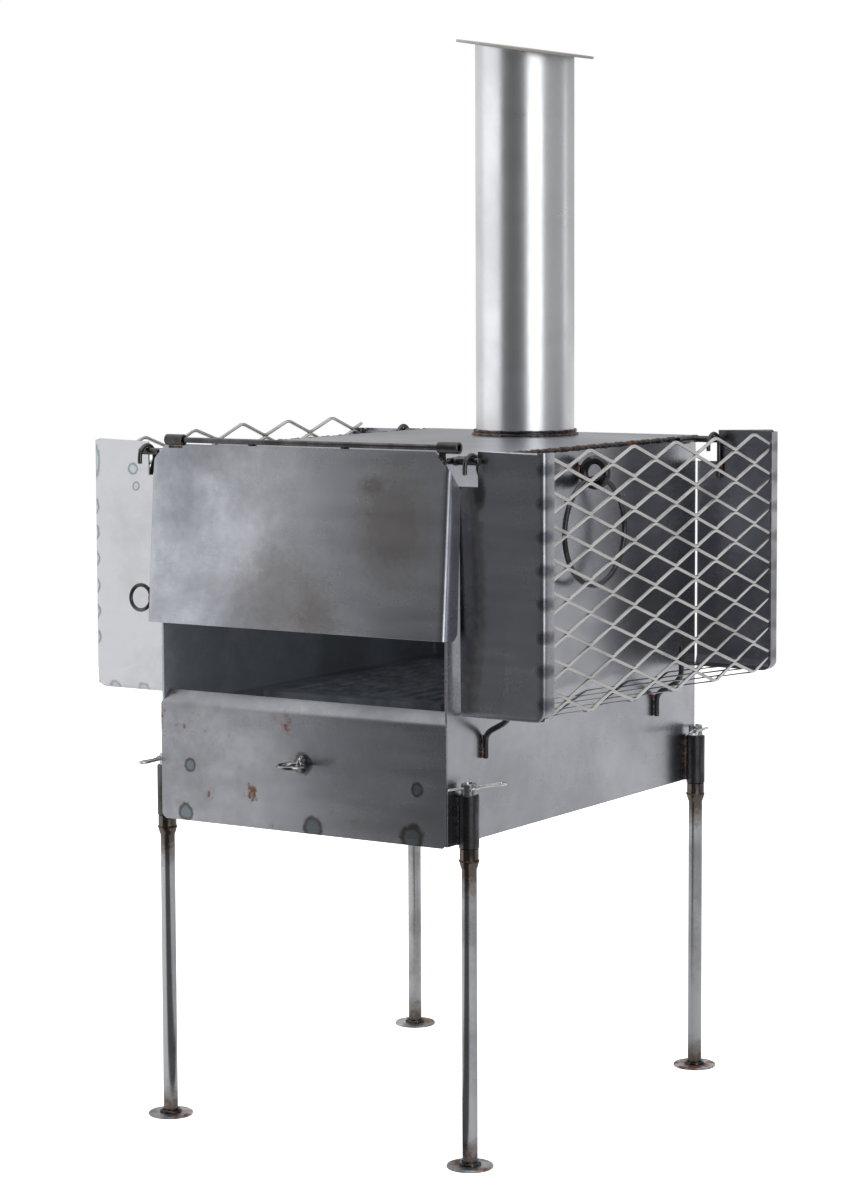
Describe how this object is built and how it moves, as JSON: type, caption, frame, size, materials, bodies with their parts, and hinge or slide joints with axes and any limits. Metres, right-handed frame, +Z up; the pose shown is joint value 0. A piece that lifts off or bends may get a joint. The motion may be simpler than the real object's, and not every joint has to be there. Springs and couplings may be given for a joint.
{
  "type": "tent sauna stove",
  "caption": "Wood-fired steel tent sauna stove on socketed tube legs, with side baskets of expanded metal, leaning door, ash drawer and flue pipe.",
  "frame": {"origin": "centre of the bounding box's bottom, on the ground", "axes": "+Z up, -Y towards the front with the door and the drawer, +X towards the right basket"},
  "size_m": [0.5748, 0.5807, 1.1916],
  "materials": {
    "sheet_steel": "matte",
    "basket_steel": "satin",
    "mesh_steel": "satin",
    "tube_steel": "satin",
    "heat_stained_steel": "matte",
    "dark_rod": "matte",
    "grate_iron": "matte",
    "cover_plate": "matte",
    "clip_zinc": "satin"
  },
  "bodies": {
    "stove": {"bottom_plate": "sheet_steel", "left_wall": "sheet_steel", "right_wall": "sheet_steel", "rear_panel": "sheet_steel", "top_plate": "sheet_steel", "floor_plate": "sheet_steel", "fire_grate": "grate_iron", "flue_collar": "dark_rod", "hinge_rod": "dark_rod", "rod_supports": "dark_rod", "hanger_pegs": "dark_rod", "floor_hooks": "dark_rod", "floor_hook_welds": "dark_rod", "left_eye": "dark_rod", "right_eye": "dark_rod", "front_left_socket": "dark_rod", "front_right_socket": "dark_rod", "rear_left_socket": "dark_rod", "rear_right_socket": "dark_rod", "front_left_leg": "tube_steel", "front_right_leg": "tube_steel", "rear_left_leg": "tube_steel", "rear_right_leg": "tube_steel", "front_left_foot": "heat_stained_steel", "front_right_foot": "heat_stained_steel", "rear_left_foot": "heat_stained_steel", "rear_right_foot": "heat_stained_steel"},
    "door": {"door_sheet": "sheet_steel", "left_knuckle": "dark_rod", "right_knuckle": "dark_rod", "hinge_tabs": "dark_rod", "door_ring": "dark_rod"},
    "drawer": {"drawer_front": "sheet_steel", "ash_tray": "sheet_steel", "tray_ends": "sheet_steel", "drawer_pull": "dark_rod"},
    "left_basket": {"left_front_plate": "basket_steel", "left_rear_plate": "basket_steel", "left_side_mesh": "mesh_steel", "left_floor_mesh": "mesh_steel", "left_basket_hooks": "basket_steel"},
    "right_basket": {"right_front_plate": "basket_steel", "right_rear_plate": "basket_steel", "right_side_mesh": "mesh_steel", "right_floor_mesh": "mesh_steel", "right_basket_hooks": "basket_steel"},
    "left_ring": {"left_drop_ring": "dark_rod"},
    "right_ring": {"right_drop_ring": "dark_rod"},
    "front_left_clip": {"front_left_clip": "clip_zinc"},
    "front_right_clip": {"front_right_clip": "clip_zinc"},
    "rear_left_clip": {"rear_left_clip": "clip_zinc"},
    "rear_right_clip": {"rear_right_clip": "clip_zinc"},
    "flue": {"flue_pipe": "tube_steel"},
    "cover": {"flue_cover": "cover_plate"}
  },
  "joints": [
    {"name": "door_hinge", "type": "hinge", "parent": "stove", "child": "door", "pos_m": [0, -0.25275, 0.745], "axis": [-1, 0, 0], "range_deg": [0, 268]},
    {"name": "drawer_slide", "type": "slide", "parent": "stove", "child": "drawer", "axis": [0, -1, 0], "range_m": [0, 0.42]},
    {"name": "left_basket_lift", "type": "slide", "parent": "stove", "child": "left_basket", "axis": [0, 0, 1], "range_m": [0, 0.021]},
    {"name": "right_basket_lift", "type": "slide", "parent": "stove", "child": "right_basket", "axis": [0, 0, 1], "range_m": [0, 0.021]},
    {"name": "left_ring_swing", "type": "hinge", "parent": "stove", "child": "left_ring", "pos_m": [-0.201, 0.01875, 0.706], "axis": [0, 1, 0], "range_deg": [-5, 35]},
    {"name": "right_ring_swing", "type": "hinge", "parent": "stove", "child": "right_ring", "pos_m": [0.201, 0.01875, 0.706], "axis": [0, -1, 0], "range_deg": [-5, 35]},
    {"name": "flue_lift", "type": "slide", "parent": "stove", "child": "flue", "axis": [0, 0, 1], "range_m": [0, 0.06]},
    {"name": "cover_lift", "type": "slide", "parent": "flue", "child": "cover", "axis": [0.153, 0, 0.9882], "range_m": [0, 0.04]},
    {"name": "front_left_clip_pull", "type": "slide", "parent": "stove", "child": "front_left_clip", "axis": [0.0872, -0.9962, 0], "range_m": [0, 0.036]},
    {"name": "front_right_clip_pull", "type": "slide", "parent": "stove", "child": "front_right_clip", "axis": [0.309, 0.9511, 0], "range_m": [0, 0.036]},
    {"name": "rear_left_clip_pull", "type": "slide", "parent": "stove", "child": "rear_left_clip", "axis": [-0.309, -0.9511, 0], "range_m": [0, 0.036]},
    {"name": "rear_right_clip_pull", "type": "slide", "parent": "stove", "child": "rear_right_clip", "axis": [0.309, -0.9511, 0], "range_m": [0, 0.036]}
  ]
}
